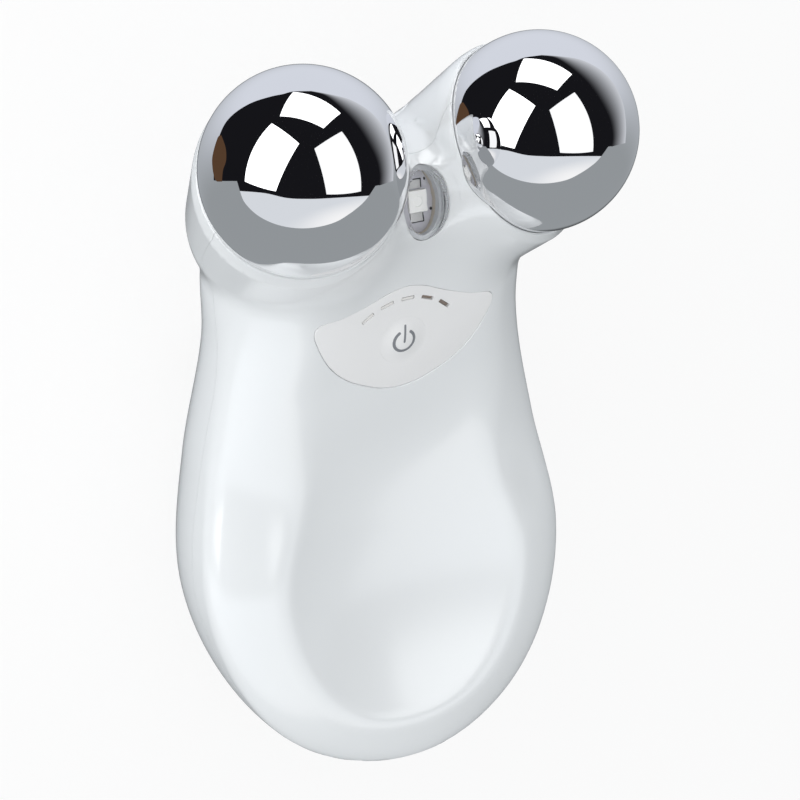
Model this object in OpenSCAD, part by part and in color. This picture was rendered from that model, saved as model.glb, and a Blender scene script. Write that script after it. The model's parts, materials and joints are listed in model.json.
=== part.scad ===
// Facial toning device: an egg-shaped grip with two short arms that carry
// two plated ball electrodes.
// The device lies on its back. +X is its right, +Y runs toward the balls and
// +Z out of the front. The origin is under the middle of the outline, on the floor.

/* [Grip] */
// Distance from the origin to the grip's lower tip
grip_tip = 56.1; // [55.5:0.1:57]
// Distance from the origin to the head end of the grip body
grip_head = 44; // [43.5:0.1:44.6]
// Housing wall thickness
wall = 2; // [1.8:0.1:2.2]
// Roundness of the grip's cross-section, 2 is an ellipse
roundness = 2.16; // [2.1:0.01:2.25]
// Gap between the two housing halves at the parting line
seam_gap = 0.12; // [0.08:0.01:0.2]

/* [Ball electrodes] */
// Ball radius
ball_r = 14.5; // [14.3:0.1:14.6]
// Ball centre to the middle plane
ball_x = 19.2; // [19:0.1:19.5]
// Ball centre toward the head
ball_y = 41.6; // [41:0.1:42]
// Ball centre above the floor
ball_z = 45; // [44.5:0.1:45.5]
// Ball shell thickness
ball_wall = 0.9; // [0.8:0.1:1.2]
// Gap between a ball and its cup
cup_gap = 0.15; // [0.1:0.05:0.25]
// Depth of the cup rim behind the ball centre
rim_back = 3.7; // [3.5:0.1:4]

/* [Control panel] */
// Panel centre toward the head
panel_y = 12.3; // [12:0.1:12.6]
// Panel surface height above the floor
panel_z = 35.7; // [35.6:0.01:35.8]
// Panel slope
panel_tilt = 18.4; // [18:0.1:19]
// Power button radius
button_r = 3.95; // [3.8:0.05:4]
// Power button travel
button_travel = 0.4; // [0.3:0.05:0.5]
// Length of each level light slot
slot_len = 2.2; // [2:0.1:2.4]
// Radius of the arc that the level lights stand on
slot_arc_r = 10.75; // [10.5:0.05:11]

/* [Centre light] */
// Lens centre toward the head
lens_y = 34.1; // [34:0.1:34.3]
// Lens surface height above the floor
lens_z = 45.1; // [45:0.05:45.3]
// Lens fall toward the head
lens_fall = 3; // [2:0.5:4]
// Lens half width
lens_a = 3.73; // [3.6:0.01:3.8]
// Lens half length
lens_b = 5.39; // [5.2:0.01:5.5]

/* [Power and charging] */
// Battery cell radius
cell_r = 9; // [8.8:0.1:9]
// Battery cell length
cell_len = 34.5; // [33:0.5:35]
// Charging socket bore radius
jack_bore_r = 1.3; // [1.25:0.05:1.4]
// Charging socket bore depth
jack_bore_len = 9; // [8:0.5:9.5]

/* [Rest plate] */
// Rest plate half width
plate_a = 11; // [9:0.5:11]
// Rest plate half length
plate_b = 19; // [16:0.5:19]
// Rest plate centre
plate_y = -21; // [-22:0.5:-20]
// Rest plate thickness
plate_t = 0.8; // [0.6:0.1:1]

/* [Hidden] */
$fn = 48;
grip_len = grip_tip + grip_head;
// Cross-section controls at nine stations from the tip to the head end
half_width = [43.35, 40.45, 37.1, 33.7, 28.5, 27.1, 34.25, 36.95, 40];
front_rise = [9.2, 8.65, 8.5, 8.5, 8.9, 14.85, 27.6, 41.1, 54.9];
back_drop = [49.45, 44.55, 39.7, 35.75, 29.2, 23.7, 17.95, 10.7, 3.05];
widest_z = [31.45, 29.55, 28.05, 26.3, 24.3, 24.9, 25, 26.85, 28.3];
// Height of the front face along the middle, from the palm scoop to the lens
front_line = [
  [-57, 37.5], [-51, 34.4], [-45.9, 32.2], [-37.7, 30.3], [-28, 29.1], [-18.3, 29],
  [-6.7, 30], [4.9, 33.4], [12.3, 35.8], [20.8, 38.6], [26, 41.6], [31, 45.4],
  [36, 49.5], [50, 62]
];
scoop_curve = 0.0078;
// Height of the parting line along the sides
seam_line = [
  [-70, 34], [-56, 31.2], [-45, 28.3], [-35, 25.5], [-24, 22.8], [-14, 21.7], [0, 23.2],
  [8, 24.6], [18, 25.3], [23, 26.2], [27.5, 28.8], [30.4, 33.6], [33.3, 39],
  [46.5, 43.3], [60, 47.5], [75, 52]
];
back_z = 0.15;
edge_k = 1.6;
back_k = 2.5;
ring_n = 60;
ring_m = 34;
inner_n = 40;
inner_m = 22;

arm_base = [14.7, 32, 28.9];
arm_r0 = 14;
arm_r1 = 14.8;
// Sideways offset of each cup's outer rim from its ball
rim_shift = [0.25, -0.16, 0];
arm_lean = 29.3;
arm_turn = 46.2;
cup_r = ball_r + cup_gap;
cup_wall = 1.6;
lip_h = 1.2;
flare_h = 2.4;
flare_out = [1.55, 1.4];
lip_taper = 0.3;
lens_dome_r = 12;
lens_skirt = 0.7;
neck_r = 4;
neck_flange_r = 6;
slot_step = 18.45;
slot_y0 = 7.05 - slot_arc_r;
panel_t = 0.85;
slot_w = 0.6;
dome_rise = 0.5;
dome_r = (button_r * button_r + dome_rise * dome_rise) / (2 * dome_rise);
board_z = -9;
board_t = 1.2;
plunger_z = -5.9;
main_board_z = 21.4;
main_board_t = 1.2;
cell_z = 12.05;
cell_y0 = -41.5;
jack_z = 26.6;
jack_y = -grip_tip + 0.5;
jack_r = 3;
// Housing screws: x, y, head seat height, plug base height
screw_spots = [[15.2, -31, 12, 2.4], [17.6, 4, 12, 8.6]];
screw_r = 1;
plug_r = 2.3;

// ---- curves ----
function cr(v, t) =
  let (n = len(v) - 1, u = min(max(t, 0), 1) * n, i = min(floor(u), n - 1), f = u - i,
       p1 = v[i], p2 = v[i + 1],
       p0 = i > 0 ? v[i - 1] : 2 * p1 - p2,
       p3 = i < n - 1 ? v[i + 2] : 2 * p2 - p1)
  0.5 * (2 * p1 + (p2 - p0) * f + (2 * p0 - 5 * p1 + 4 * p2 - p3) * f * f
         + (3 * p1 - p0 - 3 * p2 + p3) * f * f * f);
function span(p, y, i = 0) = i >= len(p) - 2 || y < p[i + 1][0] ? i : span(p, y, i + 1);
function slope(p, i) =
  let (a = max(i - 1, 0), b = min(i + 1, len(p) - 1))
  (p[b][1] - p[a][1]) / (p[b][0] - p[a][0]);
function curve(p, y) =
  let (i = span(p, y), h = p[i + 1][0] - p[i][0], t = (y - p[i][0]) / h)
  (2 * t * t * t - 3 * t * t + 1) * p[i][1] + (t * t * t - 2 * t * t + t) * h * slope(p, i)
  + (3 * t * t - 2 * t * t * t) * p[i + 1][1] + (t * t * t - t * t) * h * slope(p, i + 1);
function ease(a, b, y) = let (t = min(max((y - a) / (b - a), 0), 1)) t * t * (3 - 2 * t);
function soft_min(a, b, k) =
  let (h = min(max(0.5 + 0.5 * (b - a) / k, 0), 1)) b * (1 - h) + a * h - k * h * (1 - h);
function front_z(x, y) =
  curve(front_line, y) + scoop_curve * (1 - ease(-11, 7, y)) * x * x;
function power(c, e) = (c < 0 ? -1 : 1) * pow(abs(c), e);

// ---- grip body ----
// Point of the grip's skin, set in by w, at station t and angle q round the section
function skin_point(t, q, w) =
  let (len_w = grip_len - 2 * w, y = -grip_tip + w + len_w / 2 * (1 - cos(180 * t)),
       s = sin(180 * t), e = 2 / roundness,
       rise = max(s * (cr(front_rise, t) - w), 0.2),
       drop = max(s * (cr(back_drop, t) - w), 0.2),
       x = s * (cr(half_width, t) - w) * power(cos(q), e),
       z = cr(widest_z, t) + (sin(q) > 0 ? rise : drop) * power(sin(q), e),
       top = soft_min(z, front_z(x, y) - w, edge_k),
       low = -soft_min(-top, -back_z - w, back_k))
  [x, y, low];
module grip(w, n, m) {
  rings = [for (j = [1:m - 1], k = [0:n - 1]) skin_point(j / m, 360 * (k + 0.5) / n, w)];
  tip = [0, -grip_tip + w, cr(widest_z, 0)];
  head = [0, grip_head - w, cr(widest_z, 1)];
  last = len(rings);
  sides = [for (j = [0:m - 3], k = [0:n - 1], h = [0, 1])
    let (a = j * n + k, b = j * n + (k + 1) % n)
    h == 0 ? [a, b, b + n] : [a, b + n, a + n]];
  tip_fan = [for (k = [0:n - 1]) [last, (k + 1) % n, k]];
  head_fan = [for (k = [0:n - 1]) let (o = (m - 2) * n) [last + 1, o + k, o + (k + 1) % n]];
  polyhedron(concat(rings, [tip, head]), concat(sides, tip_fan, head_fan), convexity = 6);
}

// ---- placing ----
module both_sides() {
  children();
  mirror([1, 0, 0]) children();
}
// Ball frame: origin at the right ball's centre, Z out of the cup
module at_ball() {
  translate([ball_x, ball_y, ball_z]) rotate([0, arm_lean, arm_turn]) children();
}
module at_side(side) {
  if (side > 0) at_ball() children();
  else mirror([1, 0, 0]) at_ball() children();
}
// Panel frame: origin on the panel's surface, Z outward
module on_panel(h = 0) {
  translate([0, panel_y, panel_z]) rotate([panel_tilt, 0, 0]) translate([0, 0, h]) children();
}
// Lens frame: origin on the lens's surface, Z outward
module on_lens(h = 0) {
  translate([0, lens_y, lens_z]) rotate([-lens_fall, 0, 0]) translate([0, 0, h]) children();
}
module at_slots() {
  for (k = [-2:2]) translate([0, slot_y0, 0]) rotate(-k * slot_step)
    translate([0, slot_arc_r, 0]) children();
}
module oval(a, b, h) {
  linear_extrude(h) scale([a, b]) circle(r = 1, $fn = 64);
}
// Oval plate with true flat faces
module oval_plate(a, b, h) {
  linear_extrude(h) polygon([for (q = [0:5:355]) [a * cos(q), b * sin(q)]]);
}
module slab(x, y, h, r = 1) {
  linear_extrude(h) offset(r = r, $fn = 24) square([x - 2 * r, y - 2 * r], center = true);
}
module screw_axes(k) {
  for (s = [-1, 1]) translate([s * screw_spots[k][0], screw_spots[k][1], 0]) children();
}

// ---- housing ----
module arm(w, r_tip, back) {
  hull() {
    translate(arm_base) sphere(r = arm_r0 - w, $fn = 44);
    translate(rim_shift) at_ball() translate([0, 0, -back - lip_h])
      cylinder(r1 = r_tip, r2 = r_tip - lip_taper, h = lip_h, $fn = 72);
  }
}
module outer_form() {
  grip(0, ring_n, ring_m);
  both_sides() arm(0, arm_r1, rim_back);
}
module cavity() {
  difference() {
    union() {
      grip(wall, inner_n, inner_m);
      both_sides() arm(wall, arm_r1 - wall, 10);
    }
    both_sides() at_ball() sphere(r = cup_r + cup_wall, $fn = 48);
    on_lens(-9) oval(lens_a + 1.5, lens_b + 1.5, 12);
  }
}
module ball_pockets() {
  both_sides() at_ball() {
    sphere(r = cup_r, $fn = 72);
    translate([0, 0, -18]) cylinder(r = neck_r + 0.2, h = 6);
  }
}
module panel_outline(grow = 0) {
  upper = [[0, 9.1], [1.75, 8.85], [3.4, 8.4], [5.2, 7.65], [7.5, 6.8], [9.5, 6.2],
           [11.3, 5.7], [13.2, 5.45], [14.5, 5.1]];
  lower = [[15.05, 4], [13.6, 0.1], [12.15, -2.15], [10.2, -4.15], [8.15, -5.6],
           [6.1, -6.6], [4.15, -7.4], [2.45, -7.9], [0, -8.15]];
  half = concat(upper, lower);
  other = [for (i = [len(half) - 2:-1:1]) [-half[i][0], half[i][1]]];
  offset(r = grow - 0.4, $fn = 16) offset(r = 0.4, $fn = 16) polygon(concat(half, other));
}
// Shallow flare from the lens up to the inner sides of the arms
module lens_flare() {
  linear_extrude(flare_h, scale = flare_out, slices = 1)
    scale([lens_a + 0.2, lens_b + 0.2]) circle(r = 1, $fn = 64);
}
module front_openings() {
  on_panel(-0.9) linear_extrude(4) panel_outline(0.15);
  on_panel(-6) cylinder(r = button_r + 0.15, h = 8);
  on_panel(-6) at_slots() translate([0, 0, 4])
    cube([slot_len + 0.2, slot_w + 0.2, 8], center = true);
  on_lens(-9.5) oval(lens_a + 0.12, lens_b + 0.12, 14);
  on_lens(-0.1) lens_flare();
}
module above_seam(lift) {
  low = [for (i = [0:72]) let (y = -62 + i * 2) [y, curve(seam_line, y) + lift]];
  rotate([90, 0, 90]) translate([0, 0, -50]) linear_extrude(100)
    polygon(concat(low, [[82, 90], [-62, 90]]));
}
module bosses(r, clear) {
  intersection() {
    union() for (k = [0, 1]) screw_axes(k) cylinder(r = r, h = 60, $fn = 28);
    grip(clear, inner_n, inner_m);
  }
}
module front_housing() {
  color([0.93, 0.92, 0.9]) difference() {
    intersection() {
      union() {
        difference() {
          outer_form();
          cavity();
        }
        bosses(2.9, 1);
      }
      above_seam(seam_gap / 2);
    }
    ball_pockets();
    front_openings();
    for (k = [0, 1]) screw_axes(k) cylinder(r = screw_r + 0.05, h = 29.2, $fn = 24);
  }
}
module rear_housing() {
  color([0.92, 0.91, 0.89]) difference() {
    union() {
      difference() {
        outer_form();
        cavity();
      }
      bosses(3.7, 1);
    }
    above_seam(-seam_gap / 2);
    ball_pockets();
    translate([0, jack_y - 3, jack_z]) rotate([-90, 0, 0]) cylinder(r = jack_r + 0.12, h = 12);
    on_lens(-9.5) oval(lens_a + 0.12, lens_b + 0.12, 14);
    translate([0, plate_y, -1]) oval_plate(plate_a + 0.15, plate_b + 0.15, plate_t + 1.1);
    for (k = [0, 1]) screw_axes(k) {
      cylinder(r = screw_r + 0.15, h = 40, $fn = 24);
      translate([0, 0, -1]) cylinder(r = plug_r + 0.1, h = screw_spots[k][2] + 1, $fn = 28);
    }
  }
}

// ---- electrodes ----
module ball_shell() {
  difference() {
    sphere(r = ball_r, $fn = 96);
    sphere(r = ball_r - ball_wall, $fn = 96);
    translate([0, 0, -ball_r - 1]) cylinder(r = 3.05, h = 6);
  }
}
module neck() {
  difference() {
    union() {
      translate([0, 0, -16.6]) cylinder(r = neck_r - 0.1, h = 2);
      translate([0, 0, -14.62]) cylinder(r = 3, h = 4);
      translate([0, 0, -18.4]) cylinder(r = neck_flange_r, h = 1.8);
    }
    translate([0, 0, -19]) cylinder(r = 1.05, h = 6);
  }
}
module ball_electrode_left() { color([0.8, 0.82, 0.85]) at_side(-1) ball_shell(); }
module ball_electrode_right() { color([0.8, 0.82, 0.85]) at_side(1) ball_shell(); }
module ball_neck_left() { color([0.75, 0.62, 0.35]) at_side(-1) neck(); }
module ball_neck_right() { color([0.75, 0.62, 0.35]) at_side(1) neck(); }
module neck_seals() {
  color([0.15, 0.15, 0.16]) for (s = [-1, 1]) at_side(s)
    rotate_extrude() translate([neck_r + 0.3, -16.58]) square([1, 0.8]);
}
module contact_rings() {
  color([0.85, 0.75, 0.5]) for (s = [-1, 1]) at_side(s) translate([0, 0, -18.95]) {
    difference() {
      union() {
        cylinder(r = 3, h = 0.5);
        translate([0, -1.25, 0]) cube([7, 2.5, 0.5]);
      }
      translate([0, 0, -1]) cylinder(r = 1.3, h = 3);
    }
  }
}
module contact_screws() {
  color([0.7, 0.7, 0.72]) for (s = [-1, 1]) at_side(s) {
    translate([0, 0, -20.3]) cylinder(r = 2.2, h = 1.3);
    translate([0, 0, -19.1]) cylinder(r = screw_r, h = 4.5);
  }
}

// ---- control panel ----
module control_panel() {
  color([0.86, 0.86, 0.85]) on_panel(-panel_t) difference() {
    linear_extrude(panel_t) panel_outline(0);
    translate([0, 0, -1]) cylinder(r = button_r + 0.12, h = 4);
    at_slots() cube([slot_len, slot_w, 6], center = true);
  }
}
module power_button() {
  color([0.9, 0.9, 0.89]) on_panel() {
    intersection() {
      translate([0, 0, dome_rise - dome_r]) sphere(r = dome_r, $fn = 96);
      translate([0, 0, -2.6]) cylinder(r = button_r, h = 5);
    }
    translate([0, 0, -3.4]) cylinder(r = button_r + 0.7, h = 0.9);
    translate([0, 0, -4.2]) cylinder(r = 1.6, h = 1);
  }
}
// Printed mark, a film that stands a little out of the button's dome
module power_symbol() {
  ring_r = 1.7;
  ring_w = 0.4;
  gap = 34;
  mark_w = 0.33;
  color([0.45, 0.46, 0.48]) on_panel() intersection() {
    translate([0, 0, dome_rise + 0.04 - dome_r]) sphere(r = dome_r, $fn = 96);
    translate([0, 0, -0.2]) {
      difference() {
        cylinder(r = ring_r + ring_w / 2, h = 1);
        translate([0, 0, -1]) cylinder(r = ring_r - ring_w / 2, h = 3);
        translate([0, 0, -1]) linear_extrude(3)
          polygon([[0, 0], [3 * sin(gap), 3 * cos(gap)], [-3 * sin(gap), 3 * cos(gap)]]);
      }
      for (a = [-gap, gap]) rotate(-a) translate([0, ring_r, 0])
        cylinder(r = ring_w / 2, h = 1, $fn = 16);
      linear_extrude(1) offset(r = 0.1, $fn = 16)
        translate([0.1 - mark_w / 2, -0.15]) square([mark_w - 0.2, 2.9]);
    }
  }
}
module switch_plunger() {
  color([0.2, 0.2, 0.22]) on_panel(plunger_z) cylinder(r = 1.2, h = 1.7);
}
module tact_switch() {
  color([0.3, 0.3, 0.32]) on_panel(board_z + board_t) difference() {
    slab(4.6, 4.6, 2.6, 0.4);
    translate([0, 0, plunger_z - button_travel - 0.3 - board_z - board_t])
      cylinder(r = 1.3, h = 4);
  }
}
module level_light_guides() {
  color([0.95, 0.95, 0.97]) on_panel(-6.95) at_slots() translate([0, 0, 3.125])
    cube([slot_len - 0.1, slot_w - 0.12, 6.25], center = true);
}
module level_leds() {
  color([0.95, 0.9, 0.6]) on_panel(board_z + board_t) at_slots() slab(1.6, 0.8, 0.6, 0.1);
}
module control_board() {
  color([0.1, 0.35, 0.2]) on_panel(board_z) slab(24, 18, board_t, 2);
}

// ---- centre light ----
module centre_lens() {
  color([0.9, 0.95, 1, 0.5]) on_lens() difference() {
    intersection() {
      translate([0, 0, -1.9]) oval(lens_a, lens_b, 2.5);
      translate([0, 0, 0.1 - lens_dome_r]) sphere(r = lens_dome_r, $fn = 96);
    }
    translate([0, 0, -3]) oval(lens_a - lens_skirt, lens_b - lens_skirt, 2.3);
  }
}
module lens_reflector() {
  color([0.8, 0.78, 0.74]) on_lens(-3.85) difference() {
    oval(lens_a, lens_b, 1.9);
    translate([0, 0, -1]) oval(lens_a - lens_skirt, lens_b - lens_skirt, 5);
  }
}
module treatment_led() {
  color([0.97, 0.95, 0.85]) on_lens(-3.88) slab(3.2, 3.5, 0.8, 0.2);
}
module led_board() {
  color([0.9, 0.9, 0.88]) on_lens(-4.9) oval(lens_a, lens_b, 1);
}

// ---- inside the grip ----
module main_board() {
  color([0.1, 0.35, 0.2]) translate([0, -22, main_board_z]) difference() {
    slab(40, 36, main_board_t, 6);
    for (s = [-1, 1]) translate([s * screw_spots[0][0], screw_spots[0][1] + 22, -1])
      cylinder(r = 4, h = 4);
  }
}
module on_board(x, y) {
  translate([x, y, main_board_z + main_board_t]) children();
}
module controller_chip() {
  color([0.12, 0.12, 0.13]) on_board(-9, -16) slab(7, 7, 1, 0.3);
}
module charge_chip() {
  color([0.12, 0.12, 0.13]) on_board(0, -31) slab(4, 5, 1.2, 0.3);
}
module boost_coil() {
  color([0.25, 0.25, 0.27]) on_board(10, -17) {
    cylinder(r = 3.5, h = 0.6);
    cylinder(r = 2.2, h = 3);
    translate([0, 0, 2.6]) cylinder(r = 3.5, h = 0.6);
  }
}
module capacitors() {
  color([0.6, 0.6, 0.63]) for (x = [-2, 3]) on_board(x, -23) cylinder(r = 1.6, h = 3.2);
}
module buzzer() {
  color([0.14, 0.14, 0.15]) on_board(-9, -26) difference() {
    cylinder(r = 3.6, h = 2.4);
    translate([0, 0, 1.6]) cylinder(r = 0.6, h = 2);
  }
}
module battery_cell() {
  color([0.25, 0.45, 0.7]) translate([0, cell_y0, cell_z]) rotate([-90, 0, 0]) {
    cylinder(r = cell_r, h = cell_len);
    cylinder(r = 2.6, h = cell_len + 0.8);
  }
}
module battery_cradle() {
  color([0.3, 0.3, 0.32]) translate([0, cell_y0 + 4, 0]) difference() {
    translate([-7.5, 0, back_z + wall + 0.4]) cube([15, 24, 5]);
    translate([0, -1, cell_z]) rotate([-90, 0, 0]) cylinder(r = cell_r + 0.1, h = 40);
  }
}
module charge_jack() {
  color([0.13, 0.13, 0.14]) translate([0, jack_y, jack_z]) rotate([-90, 0, 0]) difference() {
    cylinder(r = jack_r, h = 11);
    translate([0, 0, -1]) cylinder(r = jack_bore_r, h = jack_bore_len + 1);
  }
}
module wire(pts, r = 0.5) {
  for (i = [0:len(pts) - 2]) hull() {
    translate(pts[i]) sphere(r = r, $fn = 8);
    translate(pts[i + 1]) sphere(r = r, $fn = 8);
  }
}
module electrode_leads() {
  color([0.7, 0.15, 0.12]) for (s = [-1, 1])
    wire([[s * 15.5, 36, 25.8], [s * 15, 30, 21.5], [s * 13.5, 20, 19.2], [s * 12.5, 8, 18.6],
          [s * 12, -2, 19.4], [s * 11, -6, 20.6]]);
}
module power_leads() {
  color([0.15, 0.15, 0.17]) for (s = [-1, 1]) {
    wire([[s * 1.6, -4, 12.5], [s * 2.6, -2, 16], [s * 3.4, -3, 19.4], [s * 3.6, -6, 20.6]]);
    wire([[s * 1.6, -43.7, 26.8], [s * 2.6, -42, 24.9], [s * 3, -39.6, 23.6]]);
  }
}
module led_leads() {
  color([0.85, 0.85, 0.8]) for (s = [-1, 1])
    wire([[s * 1, 33, 39.3], [s * 1.1, 31.5, 36.5], [s * 1.4, 29.5, 34.4], [s * 2, 26, 33],
          [s * 3, 21.4, 31.25]], 0.4);
}
module board_ribbon() {
  color([0.75, 0.5, 0.2]) rotate([90, 0, 90]) translate([0, 0, -4]) linear_extrude(8)
    polygon([[5, 24.2], [5.2, 23.9], [2, 21], [-3, 22.9], [-6, 22.9], [-6, 23.2],
             [-2.9, 23.2], [2, 21.4]]);
}

// ---- fasteners and rest plate ----
module housing_screws() {
  color([0.55, 0.56, 0.6]) for (k = [0, 1]) screw_axes(k) {
    translate([0, 0, screw_spots[k][2] - 1.6]) cylinder(r = 2.1, h = 1.6, $fn = 32);
    translate([0, 0, screw_spots[k][2] - 0.5]) cylinder(r = screw_r, h = 16.5, $fn = 24);
  }
}
module screw_plugs() {
  color([0.85, 0.84, 0.82]) for (k = [0, 1]) screw_axes(k)
    translate([0, 0, screw_spots[k][3]]) cylinder(r = plug_r, h = 1.6, $fn = 32);
}
module rest_plate() {
  color([0.7, 0.7, 0.7]) translate([0, plate_y, 0]) oval_plate(plate_a, plate_b, plate_t);
}

front_housing();
rear_housing();
ball_electrode_left();
ball_electrode_right();
ball_neck_left();
ball_neck_right();
neck_seals();
contact_rings();
contact_screws();
control_panel();
power_button();
power_symbol();
switch_plunger();
tact_switch();
level_light_guides();
level_leds();
control_board();
centre_lens();
lens_reflector();
treatment_led();
led_board();
main_board();
controller_chip();
charge_chip();
boost_coil();
capacitors();
buzzer();
battery_cell();
battery_cradle();
charge_jack();
electrode_leads();
power_leads();
led_leads();
board_ribbon();
housing_screws();
screw_plugs();
rest_plate();
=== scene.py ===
import json
import math

import bmesh
import bpy
import numpy as np
from mathutils import Matrix, Vector


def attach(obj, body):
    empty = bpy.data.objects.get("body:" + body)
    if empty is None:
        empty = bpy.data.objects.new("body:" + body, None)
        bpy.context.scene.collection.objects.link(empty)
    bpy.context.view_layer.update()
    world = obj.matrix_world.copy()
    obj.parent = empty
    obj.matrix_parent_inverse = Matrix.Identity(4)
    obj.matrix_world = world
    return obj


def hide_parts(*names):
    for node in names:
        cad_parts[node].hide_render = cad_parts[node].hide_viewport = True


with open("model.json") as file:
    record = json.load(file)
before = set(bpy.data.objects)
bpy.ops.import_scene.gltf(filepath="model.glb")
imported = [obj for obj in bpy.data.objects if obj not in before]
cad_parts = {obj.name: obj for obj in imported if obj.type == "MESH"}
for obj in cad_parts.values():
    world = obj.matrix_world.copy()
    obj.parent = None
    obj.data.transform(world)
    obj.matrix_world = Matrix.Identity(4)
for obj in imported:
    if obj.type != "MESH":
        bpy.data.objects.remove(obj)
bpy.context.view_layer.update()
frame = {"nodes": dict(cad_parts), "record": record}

MM = 0.001
REC = frame["record"]

# ---------------------------------------------------------------- form values, mm
# The grip's ends, then half width, front rise, back drop and widest height at nine stations.
TIP_Y = -56.1
HEAD_Y = 44.0
HALF_WIDTH = [43.35, 40.45, 37.1, 33.7, 28.5, 27.1, 34.25, 36.95, 40]
FRONT_RISE = [9.2, 8.65, 8.5, 8.5, 8.9, 14.85, 27.6, 41.1, 54.9]
BACK_DROP = [49.45, 44.55, 39.7, 35.75, 29.2, 23.7, 17.95, 10.7, 3.05]
WIDEST_Z = [31.45, 29.55, 28.05, 26.3, 24.3, 24.9, 25, 26.85, 28.3]
ROUNDNESS = 2.16
# (y, z) points of the front face's middle line and of the parting line.
FRONT_LINE = np.array([
    [-57, 37.5], [-51, 34.4], [-45.9, 32.2], [-37.7, 30.3], [-28, 29.1], [-18.3, 29],
    [-6.7, 30], [4.9, 33.4], [12.3, 35.8], [20.8, 38.6], [26, 41.6], [31, 45.4],
    [36, 49.5], [50, 62]], float)
SEAM_LINE = np.array([
    [-70, 34], [-56, 31.2], [-45, 28.3], [-35, 25.5], [-24, 22.8], [-14, 21.7], [0, 23.2],
    [8, 24.6], [18, 25.3], [23, 26.2], [27.5, 28.8], [30.4, 33.6], [33.3, 39],
    [46.5, 43.3], [60, 47.5], [75, 52]], float)
# The scoop's bend across, where it ends, and how the faces meet.
SCOOP_CURVE = 0.0078
SCOOP_END = (-11, 7)
EDGE_K = 1.1
BACK_K = 2.5
BACK_Z = 0.15
WALL = 2.0
SEAM_HALF_GAP = 0.03

# The right ball, its cup and its arm. The left ones are their mirror image.
BALL_R = 14.5
BALL_WALL = 0.9
BALL = np.array([19.2, 41.6, 45.0])
CUP_R = 14.53
CUP_WALL = 1.7
RIM_BACK = 3.7
RIM_SHIFT = np.array([0.25, -0.16, 0])
ARM_LEAN = math.radians(29.3)
ARM_TURN = math.radians(46.2)
ARM_AXIS = np.array([
    math.sin(ARM_LEAN) * math.cos(ARM_TURN),
    math.sin(ARM_LEAN) * math.sin(ARM_TURN),
    math.cos(ARM_LEAN)])
ARM_BASE = np.array([14.7, 32, 28.9])
ARM_R0 = 14.0
ARM_R1 = 14.8
BLEND_OUT = 1.6
BLEND_IN = 5.5
# Between the arms the blend widens from BLEND_OUT to BLEND_IN over these spans.
VALLEY_X = (9, 21)
VALLEY_Y = (37, 45)
VALLEY_Z = (28, 38)
# The lip round a cup falls by LIP_FALL outside LIP_R, within about two LIP_REACH.
LIP_R = 14.25
LIP_FALL = 1.4
LIP_REACH = 0.8
LIP_SPARE = 0.35
LIP_K = 0.6

# Panel, button, power mark and level lights.
PANEL_POS = np.array([0, 12.3, 35.7])
PANEL_TILT = math.radians(18.4)
PANEL_HOLE_R = 3.925
BUTTON_WELL_R = 4.1
BUTTON_R = 3.92
DOME_R = 3.9
DOME_RISE = 0.5
MARK_R = 1.7
MARK_LIFT = 0.03
# Width of the dark strip that paints the shade in the level lights' gaps.
GAP_SHADE_WIDE = 0.15
SLOT_LEN = 2.2
SLOT_WIDE = 0.6
SLOT_ARC_R = 10.75
SLOT_Y0 = 7.05 - SLOT_ARC_R
SLOT_STEP = math.radians(18.45)

# Window, the flare round it and the boss under it.
LENS_POS = np.array([0, 34.1, 45.1])
LENS_FALL = math.radians(3)
LENS_A = 3.73
LENS_B = 5.39
LENS_MID = 0.1
LED_X = 0.2
FLARE_SLOPE = 1.2
FLARE_FLOOR = 0.4
FLARE_K = 0.8
FLARE_STEP = 0.12
FLARE_LOW = 0.3
BOSS_R = 6.6
BOSS_Z = 34
HOLLOW_K = 0.8
LENS_WALL = 0.7

# Holes behind the ball necks, in the tip and in the back.
JACK_Z = 26.6
JACK_HOLE_R = 3.1
NECK_HOLE_R = 4.2
PLATE_Y = -21
PLATE_HOLE = (11.12, 19.12)
PLUG_HOLE_R = 2.4
PLUG_SPOTS = ((15.2, -31), (17.6, 4))

# Mesh grid, then how near a point must lie and face its form to take the form's normal.
NET_LO = (-36, -58, -1.2)
NET_HI = (36, 62, 60)
SKIN_CELL = 0.8
HOLLOW_CELL = 1.6
SKIN_REACH = 0.2
CUP_REACH = 0.06
SKIN_TURN = 0.9
CUP_TURN = 0.8
CORNERS = [(i, j, k) for i in (0, 1) for j in (0, 1) for k in (0, 1)]


# ---------------------------------------------------------------- form maths
def cr(values, t):
    """Catmull-Rom curve through evenly spaced values, t from 0 to 1."""
    v = np.asarray(values, float)
    n = len(v) - 1
    u = np.clip(t, 0, 1) * n
    i = np.clip(np.floor(u).astype(int), 0, n - 1)
    f = u - i
    ext = np.r_[2 * v[0] - v[1], v, 2 * v[-1] - v[-2]]
    p0, p1, p2, p3 = ext[i], ext[i + 1], ext[i + 2], ext[i + 3]
    return 0.5 * (2 * p1 + (p2 - p0) * f + (2 * p0 - 5 * p1 + 4 * p2 - p3) * f * f
                  + (3 * p1 - p0 - 3 * p2 + p3) * f ** 3)


def curve(points, y):
    """Smooth curve through (y, z) points."""
    xs = points[:, 0]
    zs = points[:, 1]
    n = len(xs)
    lo = np.maximum(np.arange(n) - 1, 0)
    hi = np.minimum(np.arange(n) + 1, n - 1)
    m = (zs[hi] - zs[lo]) / (xs[hi] - xs[lo])
    y = np.clip(y, xs[0], xs[-1])
    i = np.clip(np.searchsorted(xs, y, side="right") - 1, 0, n - 2)
    h = xs[i + 1] - xs[i]
    t = (y - xs[i]) / h
    return ((2 * t ** 3 - 3 * t * t + 1) * zs[i] + (t ** 3 - 2 * t * t + t) * h * m[i]
            + (3 * t * t - 2 * t ** 3) * zs[i + 1] + (t ** 3 - t * t) * h * m[i + 1])


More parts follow.
